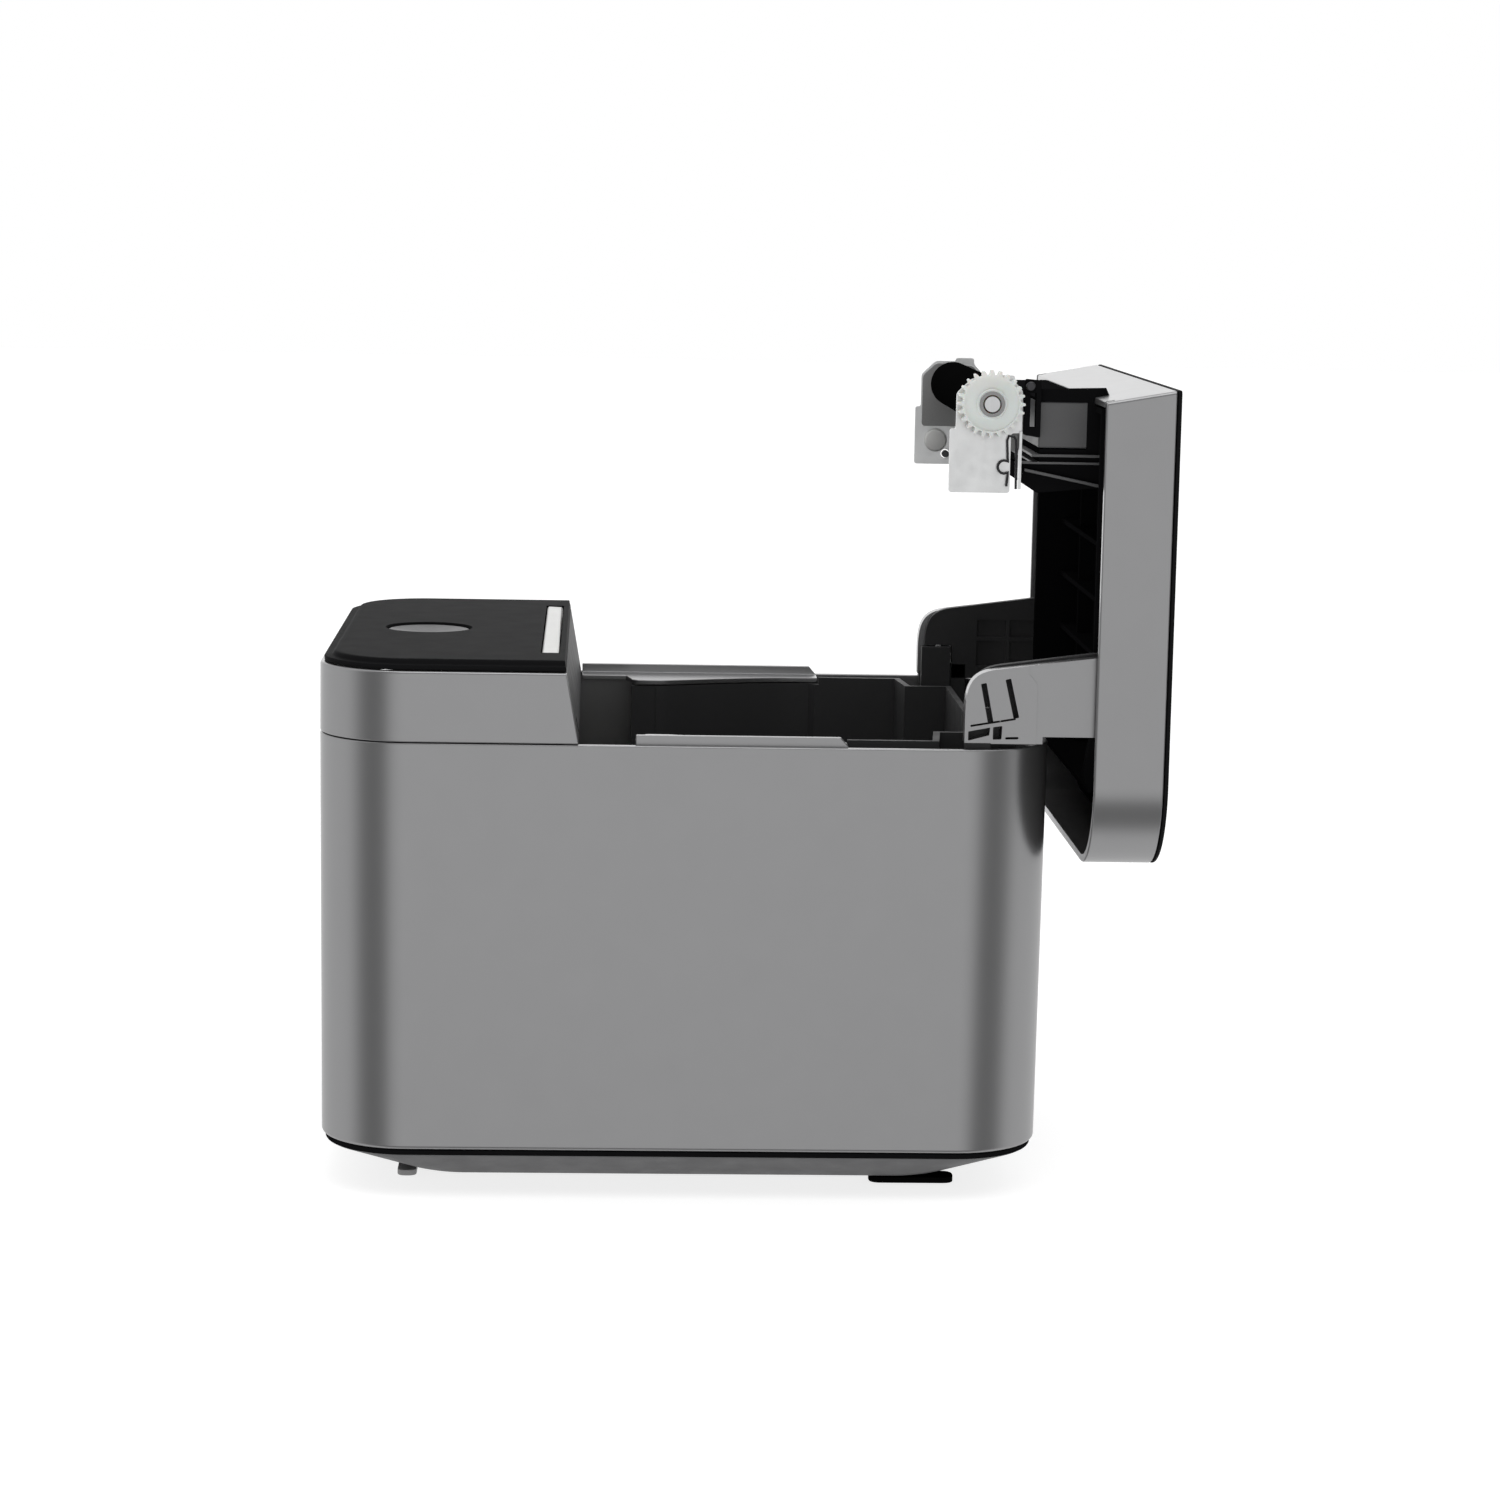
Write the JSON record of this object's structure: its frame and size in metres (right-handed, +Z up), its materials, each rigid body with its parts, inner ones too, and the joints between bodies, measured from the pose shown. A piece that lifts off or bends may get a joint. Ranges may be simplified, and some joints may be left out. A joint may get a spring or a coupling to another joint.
{
  "type": "label printer",
  "caption": "Desktop label printer with a raised hinged lid, platen roller, round feed button and a drop-in roll compartment.",
  "frame": {"origin": "on the surface it stands on, under the middle of the printer's bounding box with its lid raised", "axes": "+Z up, the front faces -Y and +X is the right-hand side seen from the front, so +Y is the longest way and +X across the printer is the shortest"},
  "size_m": [0.18, 0.2584, 0.254],
  "materials": {
    "shell_gray": "satin",
    "panel_black": "satin",
    "base_gray": "matte",
    "inner_black": "matte",
    "bar_white": "satin",
    "button_gray": "satin",
    "rubber": "matte",
    "nylon": "satin",
    "steel": "brushed",
    "aluminium": "satin",
    "board_green": "satin",
    "ceramic": "polished",
    "bronze": "satin"
  },
  "bodies": {
    "base": {"base_plate": "base_gray", "base_rim": "inner_black", "foot_front_right": "rubber", "foot_front_left": "rubber", "foot_rear_right": "rubber", "foot_rear_left": "rubber", "lower_shell": "shell_gray", "front_cover": "shell_gray", "exit_liner": "inner_black", "top_panel": "panel_black", "tear_bar": "bar_white", "button_board": "board_green", "mechanism_frame": "inner_black", "side_frame_right": "steel", "side_frame_left": "steel", "head_pivot_rod": "steel", "spring_plate": "steel", "head_spring_left": "steel", "head_spring_right": "steel", "stepper_motor": "steel", "roll_tub": "inner_black", "side_deck_right": "shell_gray", "side_deck_left": "shell_gray", "label_sensor": "inner_black", "main_board": "board_green", "port_panel": "inner_black", "power_inlet": "inner_black", "usb_port": "steel", "hinge_bracket_right": "inner_black", "hinge_bracket_left": "inner_black", "hinge_pin_right": "steel", "hinge_pin_left": "steel"},
    "lid": {"lid_band": "shell_gray", "lid_cover": "panel_black", "lid_liner": "inner_black", "hinge_arm_right": "shell_gray", "hinge_arm_left": "shell_gray", "arm_cover_right": "inner_black", "arm_cover_left": "inner_black", "platen_frame": "inner_black", "platen_plate_right": "steel", "platen_plate_left": "steel", "platen_bush_right": "bronze", "platen_bush_left": "bronze"},
    "platen": {"platen_shaft": "steel", "platen_gear": "nylon", "platen_roller": "rubber"},
    "print_head": {"print_head": "aluminium", "heater_bar": "ceramic"},
    "idler": {"idler_gear": "nylon"},
    "motor_rotor": {"motor_pinion": "steel"},
    "feed_button": {"feed_button": "button_gray"},
    "power_switch": {"power_switch": "panel_black"},
    "side_guide_right": {"side_guide_right": "inner_black"},
    "side_guide_left": {"side_guide_left": "inner_black"},
    "guide_pinion": {"guide_pinion": "nylon"}
  },
  "joints": [
    {"name": "lid_hinge", "type": "hinge", "parent": "base", "child": "lid", "pos_m": [0, 0.08335, 0.118], "axis": [1, 0, 0], "range_deg": [0, 90]},
    {"name": "platen_spin", "type": "hinge", "parent": "lid", "child": "platen", "pos_m": [0, 0.07415, 0.2437], "axis": [1, 0, 0], "continuous": true},
    {"name": "idler_spin", "type": "hinge", "parent": "base", "child": "idler", "pos_m": [0.0674, -0.05857, 0.09313], "axis": [1, 0, 0], "continuous": true},
    {"name": "motor_spin", "type": "hinge", "parent": "base", "child": "motor_rotor", "pos_m": [0.0674, -0.06464, 0.07646], "axis": [1, 0, 0], "continuous": true},
    {"name": "head_pivot", "type": "hinge", "parent": "base", "child": "print_head", "pos_m": [0, -0.05815, 0.131], "axis": [1, 0, 0], "range_deg": [-2, 0], "stiffness_Nm_per_rad": 1, "springref_deg": 4.58, "deforming": ["head_spring_left", "head_spring_right"]},
    {"name": "button_press", "type": "slide", "parent": "base", "child": "feed_button", "axis": [0, 0, -1], "range_m": [0, 0.0012], "stiffness_N_per_m": 300, "springref_m": -0.003},
    {"name": "power_rocker", "type": "hinge", "parent": "base", "child": "power_switch", "pos_m": [-0.039, 0.08935, 0.028], "axis": [0, 0, 1], "range_deg": [0, 14]},
    {"name": "guide_slide_right", "type": "slide", "parent": "base", "child": "side_guide_right", "axis": [-1, 0, 0], "range_m": [0, 0.032]},
    {"name": "guide_slide_left", "type": "slide", "parent": "base", "child": "side_guide_left", "axis": [1, 0, 0], "range_m": [0, 0.032]},
    {"name": "guide_pinion_spin", "type": "hinge", "parent": "base", "child": "guide_pinion", "pos_m": [0, 0.02185, 0.0398], "axis": [0, 0, -1], "range_deg": [0, 382]}
  ],
  "couplings": [
    {"joint": "motor_spin", "follows": "idler_spin", "ratio": -2.6667},
    {"joint": "guide_slide_left", "follows": "guide_slide_right", "ratio": 1},
    {"joint": "guide_pinion_spin", "follows": "guide_slide_right", "rad_per_m": 208.33}
  ]
}
